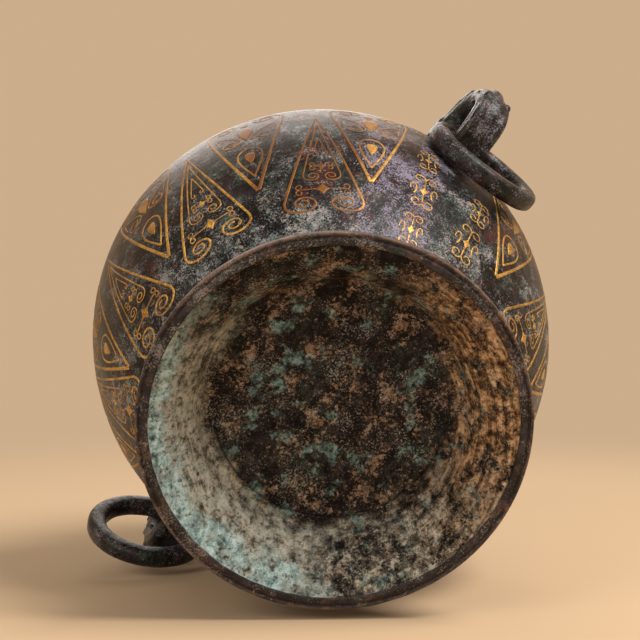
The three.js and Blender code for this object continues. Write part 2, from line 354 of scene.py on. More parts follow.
def foot_ring():
    """The foot, with the fine bead and groove round its rim."""
    rim_inside = FOOT_RIM_RADIUS - FOOT_LIP_WIDTH
    top_inside = FOOT_NECK_RADIUS - FOOT_NECK_WIDTH
    corner = 0.7
    flare_end = (FOOT_RIM_RADIUS - 2 * corner, FOOT_RIM_HEIGHT)
    fillet_end = (top_inside + 1, FOOT_HEIGHT - FOOT_FILLET)
    groove = FOOT_RIM_RADIUS - 2.0
    lip = [
        (rim_inside, 0.9),
        *arc((rim_inside + 0.8, 0.8), 0.8, 0.8, 180, 270, 4),
        (groove - 0.5, 0),
        *arc((groove, 0), 0.5, 0.45, 180, 0, 6)[1:-1],
        (groove + 0.5, 0),
        *arc((FOOT_RIM_RADIUS - corner, corner), corner, corner, -90, 0, 5),
        *arc((FOOT_RIM_RADIUS - corner, FOOT_RIM_HEIGHT - corner), corner, corner, 0, 90, 5),
    ]
    outside = bend(
        flare_end,
        (FOOT_NECK_RADIUS + 4.5, FOOT_HEIGHT * 0.45),
        (FOOT_NECK_RADIUS, FOOT_HEIGHT),
        24,
    )
    thin = FOOT_HEIGHT - 0.6
    inside = [
        (top_inside - FOOT_FILLET, FOOT_HEIGHT),
        *bend((top_inside - FOOT_FILLET, thin), (top_inside, thin), fillet_end, 10),
        *bend(fillet_end, (top_inside + 6.5, FOOT_HEIGHT * 0.37), (rim_inside, 2), 24)[1:],
        (rim_inside, 0.9),
    ]
    outer_rows = refined(lip + outside, 1.6)

    def relief(point, normal):
        radius = math.hypot(point[0], point[1])
        if radius * normal[2] < 0 and point[2] < 1.5:
            wear = max(0.0, fractal(point, 11, 9, 2) - 0.25)
            return -0.05 - 0.25 * wear
        if point[0] * normal[0] + point[1] * normal[1] < 0:
            return 0.28 * fractal(point, 10, 3, 4)
        return -0.06 + 0.06 * fractal(point, 16, 5)

    profile = outer_rows + refined(inside, 1.6)
    foot = turned("foot_ring_shell", profile, BODY_SEGMENTS, relief)
    # Faces of the lip and the outside come first, then those of the recess
    for i, face in enumerate(foot.data.polygons):
        face.material_index = 0 if i < (len(outer_rows) - 1) * BODY_SEGMENTS else 1
    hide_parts("foot_ring")
    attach(foot, "jar")
    return foot


def lid():
    rim = MOUTH_RADIUS + LID_OVERHANG
    flange_outside = NECK_INSIDE - FLANGE_CLEARANCE
    flange_inside = flange_outside - FLANGE_WALL
    flange_foot = MOUTH_HEIGHT - FLANGE_DEPTH
    corner = 0.8
    dome = (0, LID_SEAT + LID_RIM_HEIGHT)
    seat = degrees_where(KNOB_SEAT_RADIUS, rim - 3)
    profile = [
        *arc((0, LID_SEAT), flange_inside, LID_RIM_HEIGHT + LID_RISE - LID_WALL, 90, 0, 24),
        (flange_inside, flange_foot),
        *arc((flange_outside - corner, flange_foot + corner), corner, corner, -90, 0, 4),
        (flange_outside, LID_SEAT),
        *arc((rim - corner, LID_SEAT + corner), corner, corner, -90, 0, 4),
        *arc((rim - corner, LID_SEAT + LID_RIM_HEIGHT - corner), corner, corner, 0, 90, 4),
        *arc(dome, rim - 3, LID_RISE, 4, seat, 36),
        (KNOB_SEAT_RADIUS - 1, LID_TOP),
        (0, LID_TOP),
    ]

    def relief(point, normal):
        radius = math.hypot(point[0], point[1])
        wave = -0.08 + 0.07 * fractal(point, 18, 8)
        if normal[2] > 0.2 and KNOB_SEAT_RADIUS < radius < rim - 2:
            for ridge in (24.0, 43.0, 54.0):
                wave -= 0.55 * math.exp(-((radius - ridge) / 0.9) ** 2)
        return wave

    top = turned("lid_shell", refined(profile, 1.2), TOP_SEGMENTS, relief)
    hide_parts("lid")
    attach(top, "lid")
    return top


def lid_knob():
    seat = LID_TOP + GAP
    top = seat + KNOB_HEIGHT
    rim = top - 3
    corner = 0.6
    foot = KNOB_BASE_RADIUS - corner
    profile = [
        (0, seat),
        (foot, seat),
        *arc((foot, seat + corner), corner, corner, -90, 0, 4),
        *arc((foot, seat + 1.4), corner, corner, 0, 70, 4),
        (KNOB_WAIST_RADIUS + 1, seat + 4),
        *bend(
            (KNOB_WAIST_RADIUS, seat + KNOB_HEIGHT * 0.4), (KNOB_WAIST_RADIUS, rim - 1),
            (KNOB_TOP_RADIUS, rim), 20,
        ),
        *arc((KNOB_TOP_RADIUS, rim + corner), corner, corner, -90, 0, 4),
        *arc((KNOB_TOP_RADIUS, top - corner), corner, corner, 0, 90, 4),
        *arc((0, top), KNOB_TOP_RADIUS - 3, -3, 0, 90, 16),
    ]
    knob = turned("lid_knob_shell", refined(profile, 1), KNOB_SEGMENTS, waves(0.05, 7, 11))
    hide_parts("lid_knob")
    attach(knob, "lid")
    return knob


# ---------------------------------------------------------------- beast-head lugs
def spline(points, samples):
    """A smooth curve through the points, with the tangent at each sample."""
    points = [np.array(p, float) for p in points]
    extended = [2 * points[0] - points[1], *points, 2 * points[-1] - points[-2]]
    knots = [0.0]
    for a, b in zip(extended, extended[1:]):
        knots.append(knots[-1] + max(np.linalg.norm(b - a), 1e-6) ** 0.5)
    spans = len(points) - 1
    places = []
    shares = []
    for i in range(spans * samples + 1):
        span = min(i // samples, spans - 1)
        share = i / samples - span
        t = knots[span: span + 4]
        at = t[1] + (t[2] - t[1]) * share

        def between(a, b, i, j):
            return ((t[j] - at) * a + (at - t[i]) * b) / (t[j] - t[i])

        p = extended[span: span + 4]
        a = [between(p[k], p[k + 1], k, k + 1) for k in range(3)]
        b = [between(a[k], a[k + 1], k, k + 2) for k in range(2)]
        places.append(between(b[0], b[1], 1, 2))
        shares.append((span, share))
    places = np.array(places)
    tangents = np.gradient(places, axis=0)
    tangents /= np.linalg.norm(tangents, axis=1)[:, None]
    return places, tangents, shares


def swept(stations, around=28, samples=8):
    """Points and faces of a flattened bar. A station is x, y, z, half width, half thickness."""
    places, tangents, shares = spline([s[:3] for s in stations], samples)
    points = []
    for place, tangent, (span, share) in zip(places, tangents, shares):
        width = stations[span][3] * (1 - share) + stations[span + 1][3] * share
        thick = stations[span][4] * (1 - share) + stations[span + 1][4] * share
        in_plane = math.hypot(tangent[0], tangent[2]) or 1.0
        for x, y in circle(around):
            out = y * thick / in_plane
            points.append(place + (-tangent[2] * out, x * width, tangent[0] * out))
    return points, tube_faces(len(places), around)


def rod(knots, radii, around=10, samples=5):
    """A round rod through the knots, with a radius at each."""
    places, tangents, shares = spline(knots, samples)
    side = np.cross(tangents[0], (0.3, 0.2, 0.93))
    points = []
    for place, tangent, (span, share) in zip(places, tangents, shares):
        side = unit(side - tangent * side.dot(tangent))
        other = np.cross(tangent, side)
        radius = radii[span] * (1 - share) + radii[span + 1] * share
        points += [place + radius * (x * side + y * other) for x, y in circle(around)]
    return points, tube_faces(len(places), around)


def ball(centre, sizes):
    """Points and faces of an ellipsoid."""
    rows, around = 12, 20
    points = []
    for i in range(1, rows):
        tilt = -math.pi / 2 + math.pi * i / rows
        out = math.cos(tilt)
        points += [(x * out, y * out, math.sin(tilt)) for x, y in circle(around)]
    points += [(0, 0, -1), (0, 0, 1)]
    points = np.array(points) * sizes + centre
    return points, tube_faces(rows - 1, around, pointed=True)


def lug_parts():
    """The closed forms that fuse into one lug, in the radial plane of +X."""
    arch = ARCH_THICKNESS / 2
    bar = BAR_THICKNESS / 2
    root = ROOT_WIDTH / 2
    head = HEAD_WIDTH / 2
    belly = BELLY_RADIUS * math.sqrt(1 - ((LOOP_HEIGHT - BELLY_HEIGHT) / UPPER_RISE) ** 2)
    front = belly + LOOP_REACH - arch
    over = LOOP_HEIGHT + LOOP_OVER_WIRE
    under = LOOP_HEIGHT - LOOP_UNDER_WIRE
    yield swept([
        (belly - 22, 0, over - 4.5, root * 0.93, arch * 1.15),
        (belly - 11, 0, over + 0.2, root * 0.92, arch * 1.2),
        (belly, 0, over + 1.2, root * 0.88, arch * 1.18),
        (belly + LOOP_REACH * 0.28, 0, over + 0.4, head * 0.98, arch * 1.15),
        (front - 8.5, 0, over - 3.2, head * 0.90, arch * 1.1),
        (front - 2, 0, over - 10, head * 0.87, arch * 0.97),
        (front - 0.4, 0, LOOP_HEIGHT, head * 0.86, arch * 0.93),
        (front - 3.2, 0, LOOP_HEIGHT - LOOP_UNDER_WIRE * 0.66, head * 0.87, arch * 0.9),
        (front - 11, 0, under + 0.6, head * 0.87, bar * 1.05),
        (belly + LOOP_REACH * 0.3, 0, under, head * 0.86, bar * 0.95),
        (belly, 0, under, head * 0.90, bar),
        (belly - 12, 0, under + 1, head, bar),
    ], 36)
    # A rounded ridge from the neck over the brow and down the nose
    yield rod([
        (belly - 6, 0, over + 3.6), (belly + 8, 0, over + 3.4), (front - 7, 0, over + 0.4),
        (front + 1.2, 0, over - 9), (front + 2.7, 0, LOOP_HEIGHT + 1),
        (front - 0.6, 0, LOOP_HEIGHT - 10),
    ], [4.4, 4.6, 4.6, 4.4, 4.4, 3.6], 16)
    for side in (-1, 1):
        yield swept([
            (belly - 4, side * root * 0.56, over + arch * 0.62, 2.6, 2.4),
            (belly + 8, side * head * 0.70, over + arch * 0.66, 3.0, 2.6),
            (front - 8, side * head * 0.70, over + 0.4, 2.6, 2.4),
            (front - 0.6, side * head * 0.72, over - 8, 2.0, 2.0),
        ], 16)
        yield ball((belly + 5, side * root * 0.68, over + 3.2), (5.4, 2.4, 3.2))
        yield ball((front - 5, side * head * 0.74, over - 4.5), (2.4, 1.8, 2.4))
        yield rod([
            (front - 9.4, side * head * 0.78, over - 4.4),
            (front - 5.6, side * head * 0.83, over - 0.8),
            (front - 2.2, side * head * 0.83, over - 4.4),
            (front - 4.8, side * head * 0.82, over - 8.2),
        ], [0.5, 0.8, 0.8, 0.5])
        yield ball((front + 2.6, side * head * 0.50, LOOP_HEIGHT - 6.5), (2.4, 2.4, 2.6))
        # Two rolls with a crease between them run under the jaw
        yield rod([
            (front + 0.4, side * 5.2, LOOP_HEIGHT - 8), (front - 6, side * 5.6, under - 0.6),
            (belly + LOOP_REACH * 0.4, side * 5.8, under - 2.4),
            (belly + 4, side * 6.2, under - 2.2), (belly - 8, side * 7, under - 0.6),
        ], [3.0, 3.2, 3.0, 3.0, 3.0], 14)
        # Scrolls in low relief on the neck and the jaw
        for centre_x, centre_z, size, hand in (
            (belly + 3, over + 1.5, 4.0, 1), (front - 0.3, LOOP_HEIGHT + 1.5, 4.0, -1),
            (front - 7, under + 3.4, 2.8, 1),
        ):
            width = root * 0.84 if centre_x < belly + 6 else head * (0.84 if size > 3 else 0.82)
            curl = []
            for i in range(15):
                turn = math.radians(200 + hand * 36 * i)
                reach = size * math.exp(-0.12 * i)
                curl.append((
                    centre_x + reach * math.cos(turn),
                    side * width * math.sqrt(1 - (0.1 * reach) ** 2),
                    centre_z + reach * math.sin(turn),
                ))
            yield rod(curl, [0.85 * (1 - i / 22) for i in range(15)], 8, 3)


def lug(name, node, degrees):
    obj = mesh_object(name, *joined(lug_parts()))
    bpy.context.view_layer.objects.active = obj
    fuse = obj.modifiers.new("fuse", "REMESH")
    fuse.mode = "VOXEL"
    fuse.voxel_size = 0.5 * MM
    fuse.use_smooth_shade = True
    soften = obj.modifiers.new("soften", "SMOOTH")
    soften.factor = 0.5
    soften.iterations = 3
    fused = obj.evaluated_get(bpy.context.evaluated_depsgraph_get())
    applied = bpy.data.meshes.new_from_object(fused)
    obj.modifiers.clear()
    old = obj.data
    obj.data = applied
    bpy.data.meshes.remove(old)
    # What lies inside the belly is pressed flat on to it, and the rest is worn
    floor = 1 + GAP * 0.4 / BELLY_RADIUS

    def pressed_or_worn(place, normal):
        rise = rise_at(place[2])
        height = (place[2] - BELLY_HEIGHT) / rise
        depth = math.hypot(math.hypot(place[0], place[1]) / BELLY_RADIUS, height)
        if depth < floor:
            stretch = floor / depth
            return (place[0] * stretch, place[1] * stretch, BELLY_HEIGHT + height * rise * stretch)
        return place + normal * (0.16 * fractal(place, 5.5, 13, 3) - 0.14)

    reshape(applied, pressed_or_worn)
    applied.transform(Matrix.Rotation(math.radians(degrees), 4, "Z"))
    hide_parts(node)
    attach(obj, "jar")
    return obj


# ---------------------------------------------------------------- loose rings
def loose_ring(name, node, body, seed):
    """A ring of rounded-square wire where the frame's ring is, with a worn, uneven cast wire."""
    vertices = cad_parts[node].data.vertices
    places = np.array([tuple(v.co) for v in vertices]) / MM
    centre = (places.max(axis=0) + places.min(axis=0)) / 2
    for _ in range(3):
        normal = np.linalg.svd(places - centre, full_matrices=False)[2][2]
        flat = (places - centre) - np.outer((places - centre) @ normal, normal)
        reach = np.linalg.norm(flat, axis=1)
        outer = flat[reach > reach.max() - 0.6]
        centre = centre + (outer.max(axis=0) + outer.min(axis=0)) / 2
    side = unit(np.cross(normal, (0.2, 0.1, 1.0)))
    other = np.cross(normal, side)
    flat = WIRE_WIDTH / 2 - WIRE_CORNER
    section = []
    for i, (across, up) in enumerate(((1, -1), (1, 1), (-1, 1), (-1, -1))):
        for k in range(6):
            angle = math.radians(-90 + i * 90 + k * 18)
            section.append((
                across * flat + WIRE_CORNER * math.cos(angle),
                up * flat + WIRE_CORNER * math.sin(angle),
            ))
    segments = 200
    around = len(section)
    points = []
    for x, y in circle(segments):
        out = x * side + y * other
        points += [centre + out * (RING_RADIUS + across) + normal * up for across, up in section]
    faces = [
        [(i + 1) % segments * around + j, (i + 1) % segments * around + (j + 1) % around,
         i * around + (j + 1) % around, i * around + j]
        for i in range(segments) for j in range(around)
    ]
    ring = mesh_object(name, points, faces)

    def relief(point, normal):
        pits = max(0, fractal(point, 3.2, seed + 1, 2))
        return -0.18 + 0.14 * fractal(point, 12, seed, 2) - 0.16 * pits

    carve(ring, relief)
    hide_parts(node)
    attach(ring, body)
    return ring


# ---------------------------------------------------------------- gold inlay
class Inlay:
    """Strokes and filled shapes of gold laid into the belly, collected into one mesh."""

    thick = 0.1
    bed = 0.25
    share = 0.8

    def __init__(self):
        self.parts = []

    def stroke(self, place, path, widths, marks=None):
        """A ribbon along a path of (across, along), whose points at the marks have the widths."""
        path = np.array(path, float)
        if marks is None:
            marks = np.linspace(0, len(path) - 1, len(widths))
        steps = np.concatenate(([0], np.cumsum(np.linalg.norm(np.diff(path, axis=0), axis=1))))
        count = max(4, int(steps[-1] / 0.7))
        fine = np.linspace(0, steps[-1], count)
        line = np.stack([np.interp(fine, steps, path[:, k]) for k in range(2)], 1)
        widths = np.interp(range(len(path)), marks, widths)
        wide = np.interp(fine, steps, widths) * self.share / 2
        tangent = np.gradient(line, axis=0)
        tangent /= np.linalg.norm(tangent, axis=1)[:, None] + 1e-9
        side = np.stack([-tangent[:, 1], tangent[:, 0]], 1)
        edges = (
            (-1, -self.bed), (-1, self.thick * 0.4), (-0.7, self.thick),
            (0.7, self.thick), (1, self.thick * 0.4), (1, -self.bed),
        )
        points = [
            place(*(line[i] + side[i] * wide[i] * share), lift)
            for i in range(count) for share, lift in edges
        ]
        self.parts.append((points, tube_faces(count, len(edges))))

    def fill(self, place, outline):
        """A filled shape. Its outline is seen whole from its middle."""
        outline = np.array(outline, float)
        middle = outline.mean(axis=0)
        top = self.thick * 1.05
        shares = ((1.0, -self.bed), (1.0, self.thick * 0.4), (0.85, self.thick), (0.45, top))
        points = [
            place(*(middle + (point - middle) * share), lift)
            for share, lift in shares for point in outline
        ]
        points += [place(*middle, -self.bed), place(*middle, top)]
        self.parts.append((points, tube_faces(len(shares), len(outline), pointed=True)))

    def object(self, name):
        obj = mesh_object(name, *joined(self.parts))
        shape = bmesh.new()
        shape.from_mesh(obj.data)
        bmesh.ops.recalc_face_normals(shape, faces=shape.faces)
        shape.to_mesh(obj.data)
        shape.free()
        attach(obj, "jar")
        return obj


def scroll(centre, across, along, start, turns, decay):
    """A spiral that draws in to its centre. Positive turns run from across towards along."""
    count = max(12, int(abs(turns) * 26))
    points = []
    for i in range(count + 1):
        share = i / count * abs(turns)
        angle = math.radians(start) + math.copysign(share, turns) * FULL_TURN
        shrink = math.exp(-decay * share)
        points.append((
            centre[0] + across * shrink * math.cos(angle),
            centre[1] + along * shrink * math.sin(angle),
        ))
    return points


def lozenge(width, height, middle):
    """The outline of a diamond with slightly hollow sides."""
    corners = [(width, 0), (0, height), (-width, 0), (0, -height)]
    points = []
    for a, b in zip(corners, corners[1:] + corners[:1]):
        for i in range(6):
            t = i / 6
            hollow = 1 - 0.22 * math.sin(math.pi * t)
            points.append([
                centre + (start * (1 - t) + end * t) * hollow
                for centre, start, end in zip(middle, a, b)
            ])
    return points


def drop(point_at, widest_at, round_at, half_width):
    """The outline of a drop: a point at one end and a round at the other, up the middle line."""
    points = []
    steps = 20
    for i in range(steps + 1):
        t = i / steps
        along = point_at + (round_at - point_at) * t
        peak = (widest_at - point_at) / (round_at - point_at)
        if t < peak:
            width = half_width * math.sin(math.pi / 2 * (t / peak)) ** 1.15
        else:
            width = half_width * math.sqrt(max(0.0, 1 - ((t - peak) / (1 - peak)) ** 2))
        points.append((width, along))
    return points + [(-x, y) for x, y in points[-2:0:-1]]


def lozenge_with_curls(inlay, place, middle, size, stem, curl):
    """A filled diamond with a stem to each side that parts into two curls."""
    inlay.fill(place, lozenge(size[0], size[1], middle))
    for side in (-1, 1):
        end = (middle[0] + side * stem, middle[1] + 0.1)
        inlay.stroke(place, [(middle[0] + side * size[0] * 0.9, middle[1]), end], [0.8, 0.7])
        for up in (-1, 1):
            centre = (end[0] - side * 0.1, end[1] + up * curl)
            start = -up * 75 if side > 0 else 180 + up * 75
            path = [end] + scroll(centre, curl, curl * 0.98, start, 0.95 * side * up, 0.7)
            inlay.stroke(place, path, (0.75, 0.55))


def up_triangle(inlay, place):
    """A tall triangle whose lower corners curl in to spirals, with two more outlines inside."""
    for side in (-1, 1):
        def edge(top, foot, width, bow, steps):
            return [
                (side * width * (i / steps) ** bow, top + (foot - top) * i / steps)
                for i in range(steps + 1)
            ]

        outline = edge(105, 32.5, 16.9, 1.2, 30)
        outline += scroll((side * 8.8, 31.2), side * 8.2, 6.0, 0, -1.85, 0.85)[1:]
        inlay.stroke(place, outline, (0.9, 1.55, 1.3, 0.8), (0, 26, 34, len(outline)))
        second = edge(94, 48.5, 8.1, 1.15, 20)
        second += scroll((side * 4.1, 47.4), side * 4.05, 3.4, 0, -1.55, 0.85)[1:]
        inlay.stroke(place, second, (0.9, 0.65))
        third = edge(78, 63.5, 3.1, 1.0, 8)
        third += scroll((side * 2.1, 62.6), side * 1.0, 1.2, 0, -0.75, 0.5)[1:]
        inlay.stroke(place, third, (0.7, 0.5))
    lozenge_with_curls(inlay, place, (0, 39), (3.3, 3.8), 10.2, 1.75)
    lozenge_with_curls(inlay, place, (0, 54), (2.3, 2.7), 3.9, 1.5)


def down_triangle(inlay, place):
    """A pendant with its point to the foot, a drop in its lower half and two eyes above."""
    for side in (-1, 1):
        outline = []
        for i in range(31):
            t = i / 30
            outline.append((side * (0.2 + 18.3 * (1 - (1 - t) ** 1.5)), 41.5 + 70.5 * t))
        outline += scroll((side * 10.0, 112), side * 8.5, 6.0, 0, 1.6, 0.85)[1:]
        inlay.stroke(place, outline, (2.0, 1.75, 1.3, 0.8), (0, 6, 30, len(outline)))
        eye = [(side * 14.6, 101), (side * 9.6, 97.5), (side * 5.4, 93.5)]
        eye += scroll((side * 7.9, 87.2), side * -5.6, 4.7, 28, -1.35, 0.75)
        inlay.stroke(place, eye, (0.9, 0.7))
        lash = [(side * 14.6, 101), (side * 13.6, 94.5), (side * 12.9, 90)]
        inlay.stroke(place, lash, (0.8, 0.7, 0.5))
    ring = drop(51.6, 69.5, 76.4, 5.7)
    inlay.stroke(place, ring + [ring[0]], (1.15, 1.15))
    inlay.fill(place, drop(61.6, 69.4, 71.8, 2.5))
    inlay.fill(place, drop(85.5, 98, 103, 3.6))
    inlay.fill(place, lozenge(2.0, 2.6, (0, 109)))


# Where each triangle stands: degrees round the belly, and how far it is moved up, as the
# hand-laid band is uneven. Those at the back are spread evenly.
UP_TRIANGLES = [
    (40.5, 0), (72, 0), (103, -1), (134, 0), (165, 0), (196, -1), (226.5, 0),
    (257.0, -3.8), (288.75, 0), (321.9, -1.2),
]
DOWN_TRIANGLES = [
    (19.8, -4.6), (56.5, -1), (87.5, 0), (118.5, -1), (149.5, 0), (180.5, 0), (211, -2),
    (239.8, -4.4), (273.7, 0), (304.5, 2.8), (335.2, 2.8),
]
# The small scroll groups in the band's one gap: degrees, how far up, and size
SCROLL_GROUPS = [
    (350.2, 77, 0.95), (350.0, 50, 1.12), (348.8, 24, 0.92), (7.0, 62, 0.95), (6.6, 36, 1.12),
]


def placer(degrees, shift):
    def place(across, along, lift):
        return on_belly(degrees, across, along + shift, lift)
    return place


def scroll_group(inlay, degrees, along, size):
    """An upright lozenge between four curls."""
    def place(across, up, lift):
        return on_belly(degrees, up * size, along + across * size, lift)
    lozenge_with_curls(inlay, place, (0, 0), (3.0, 2.0), 7.4, 2.6)
    for side in (-1, 1):
        path = scroll((0, side * 4.6), 3.6, side * 1.5, 200, 0.75, 0.35)
        inlay.stroke(place, path, (0.9, 0.6))


def gold_inlay():
    up, down, groups = Inlay(), Inlay(), Inlay()
    for degrees, shift in UP_TRIANGLES:
        up_triangle(up, placer(degrees, shift))
    for degrees, shift in DOWN_TRIANGLES:
        down_triangle(down, placer(degrees, shift))
    for degrees, along, size in SCROLL_GROUPS:
        scroll_group(groups, degrees, along, size)
    return [
        up.object("gold_up_triangles"),
        down.object("gold_down_triangles"),
        groups.object("gold_scroll_groups"),
    ]


# ---------------------------------------------------------------- materials
class Nodes:
    """A node tree written as nested calls. An input is a number, a tuple or a node's socket."""

    def __init__(self, tree):
        self.tree = tree
        tree.nodes.clear()

    def node(self, kind, inputs=None, **settings):
        node = self.tree.nodes.new(kind)
        for key, value in settings.items():
            setattr(node, key, value)
        for key, value in (inputs or {}).items():
            if isinstance(value, bpy.types.NodeSocket):
                self.tree.links.new(value, node.inputs[key])
            else:
                node.inputs[key].default_value = value
        return node

    def math(self, operation, *values):
        inputs = dict(enumerate(values))
        return self.node("ShaderNodeMath", inputs, operation=operation).outputs[0]


class Shader(Nodes):
    """A material whose colour is built up coat by coat."""

    def __init__(self, name):
        self.material = bpy.data.materials.new(name)
        self.material.use_nodes = True
        super().__init__(self.material.node_tree)
        self.coords = self.node("ShaderNodeTexCoord").outputs["Object"]

    def plus(self, first, second):
        return self.math("ADD", first, second)

    def times(self, first, *others):
        for other in others:
            first = self.math("MULTIPLY", first, other)
        return first

    def centred(self, value, share):
        """How far a value from 0 to 1 lies above its middle, times the share."""
        return self.times(self.math("SUBTRACT", value, 0.5), share)

    def weighted(self, *terms, base=0.0):
        """The base plus each term's value times its share."""
        for value, share in terms:
            base = self.plus(base, self.times(value, share))
        return base

    def step(self, value, low, high):
        """0 below low and 1 above high, with a smooth rise between."""
        return self.node("ShaderNodeMapRange", {
            "Value": value, "From Min": low, "From Max": high,
        }, interpolation_type="SMOOTHSTEP").outputs["Result"]

    def below(self, value, low, high):
        """1 below low and 0 above high."""
        return self.math("SUBTRACT", 1.0, self.step(value, low, high))

    def shifted(self, seed):
        return self.node("ShaderNodeVectorMath", {
            0: self.coords, 1: (seed * 0.731, seed * 0.377, seed * 0.593),
        }, operation="ADD").outputs[0]

    def noise(self, size_mm, seed, detail=5.0, roughness=0.6, vector=None):
        return self.node("ShaderNodeTexNoise", {
            "Vector": vector or self.shifted(seed), "Scale": 1 / (size_mm * MM),
            "Detail": detail, "Roughness": roughness,
        }).outputs["Fac"]

    def spots(self, size_mm, seed, detail, roughness, low, high):
        """Patches of that size. They cover less of the surface as low and high rise."""
        return self.step(self.noise(size_mm, seed, detail, roughness), low, high)

    def cells(self, size_mm, seed):
        return self.node("ShaderNodeTexVoronoi", {
            "Vector": self.shifted(seed), "Scale": 1 / (size_mm * MM),
        }).outputs["Distance"]

    def streaks(self, size_mm, seed):
        """Noise drawn out round the axis, so that it changes mostly with the distance from it."""
        across = self.node("ShaderNodeCombineXYZ", {
            0: self.from_axis(), 1: self.place()[2], 2: seed * 0.37,
        }).outputs[0]
        vector = self.node("ShaderNodeVectorMath", {
            0: self.coords, 1: (0.12,) * 3, 2: across,
        }, operation="MULTIPLY_ADD").outputs[0]
        return self.noise(size_mm, seed, 6.0, 0.7, vector)

    def ramp(self, value, *stops):
        node = self.node("ShaderNodeValToRGB", {"Fac": value})
        elements = node.color_ramp.elements
        while len(elements) < len(stops):
            elements.new(0.5)
        for element, (place, *color) in zip(elements, stops):
            element.position = place
            element.color = (*color, 1)
        return node.outputs["Color"]

    def mix(self, share, first, second):
        first, second = (
            color if isinstance(color, bpy.types.NodeSocket) else (*color, 1)
            for color in (first, second)
        )
        inputs = {0: share, 6: first, 7: second}
        return self.node("ShaderNodeMix", inputs, data_type="RGBA").outputs[2]

    def coat(self, color, *masks):
        """Lays a colour over what is there, where the masks agree."""
        self.color = self.mix(self.times(*masks), self.color, color)

    def place(self):
        """x, y, z of the surface in metres."""
        return self.node("ShaderNodeSeparateXYZ", {0: self.coords}).outputs

    def from_axis(self):
        x, y, _ = self.place()
        return self.math("SQRT", self.plus(self.times(x, x), self.times(y, y)))

    def towards(self, degrees):
        """1 on the side of the axis at those degrees, -1 on the other."""
        x, y, _ = self.place()
        angle = math.radians(degrees)
        along = self.weighted((x, math.cos(angle)), (y, math.sin(angle)))
        return self.math("DIVIDE", along, self.math("MAXIMUM", self.from_axis(), 0.0005))

    def finish(self, roughness, height, depth_mm, specular, metallic=0.0):
        bump = self.node("ShaderNodeBump", {
            "Height": height, "Distance": depth_mm * MM, "Strength": 1.0,
        })
        surface = self.node("ShaderNodeBsdfPrincipled", {
            "Base Color": self.color, "Roughness": roughness, "Normal": bump.outputs[0],
            "Metallic": metallic, "Specular IOR Level": specular,
        })
        self.node("ShaderNodeOutputMaterial", {"Surface": surface.outputs[0]})
        return self.material


def patina(name, seed, brown_above, dust_below=None, green=0.5, sheen=None):
    """Near-black bronze with fine pale grains, cuprite red, green spots and pale dust, and a
    painted sheen on the side that sheen gives.
    """
    s = Shader(name)
    z = s.place()[2]
    blotch = s.noise(9, seed, 8, 0.72)
    broad = s.noise(48, seed + 1, 4)
    grain = s.noise(0.8, seed + 2, 5, 0.74)
    coarse = s.noise(2.4, seed + 3, 7, 0.76)
    s.color = s.ramp(
        blotch, (0.32, 0.002, 0.0015, 0.002), (0.5, 0.005, 0.0035, 0.005),
        (0.61, 0.018, 0.013, 0.016), (0.74, 0.05, 0.038, 0.046),
    )
    red = s.spots(17, seed + 6, 7, 0.6, 0.55, 0.63)
    s.coat((0.055, 0.009, 0.006), red, s.step(coarse, 0.38, 0.56), 0.85)
    moss = s.spots(19, seed + 7, 7, 0.66, 0.52, 0.6)
    s.coat((0.045, 0.078, 0.055), moss, s.step(coarse, 0.42, 0.6), green)
    # Pale grains stand close together in some places and are rare in others
    crowd = s.centred(s.noise(17, seed + 4, 9, 0.74), 0.95)
    tint = s.ramp(
        s.noise(4.0, seed + 5, 6, 0.72), (0.36, 0.06, 0.13, 0.105),
        (0.46, 0.14, 0.16, 0.155), (0.55, 0.33, 0.3, 0.3), (0.68, 0.42, 0.36, 0.26),
    )
    if dust_below:
        low = s.below(s.plus(z, s.centred(broad, 0.045)), *dust_below)
        crowd = s.weighted((low, 0.03), base=crowd)
    # Painted sheen: on the side that sheen gives and below a height, the grains crowd closer and
    # take a pale violet tint, standing in for a broad highlight
    if sheen:
        painted_sheen = s.times(s.step(s.towards(sheen), 0.965, 0.995), s.below(z, 0.095, 0.135))
        crowd = s.weighted((painted_sheen, 0.03), base=crowd)
        tint = s.mix(s.times(painted_sheen, 0.65), tint, (0.3, 0.235, 0.34))
    grains = s.step(s.plus(grain, crowd), 0.56, 0.625)
    s.coat(tint, grains, 0.8)
    teal = s.spots(6, seed + 8, 8, 0.74, 0.6, 0.66)
    s.coat((0.1, 0.19, 0.15), teal, s.spots(34, seed + 9, 4, 0.6, 0.46, 0.58), green)
    # Reddish-brown patina above a height; its warm tone is raised as a painted reflection of a warm
    # backdrop
    brown = s.step(s.plus(z, s.centred(broad, 0.06)), *brown_above)
    s.coat(s.ramp(
        s.noise(5, seed + 10, 9, 0.74), (0.32, 0.006, 0.002, 0.001),
        (0.5, 0.042, 0.014, 0.005), (0.68, 0.15, 0.056, 0.018),
    ), brown, 0.72)
    if dust_below:
        dust = s.times(s.step(coarse, 0.5, 0.6), s.spots(12, seed + 11, 7, 0.7, 0.5, 0.6))
        s.coat((0.33, 0.295, 0.225), low, dust, 0.72)
    roughness = s.weighted((s.noise(5, seed + 12, 6, 0.7), 0.3), (grains, 0.14), base=0.14)
    height = s.weighted((grain, 0.42), (coarse, 0.55), (blotch, 0.8))
    return s.finish(roughness, height, depth_mm=0.34, specular=0.13)


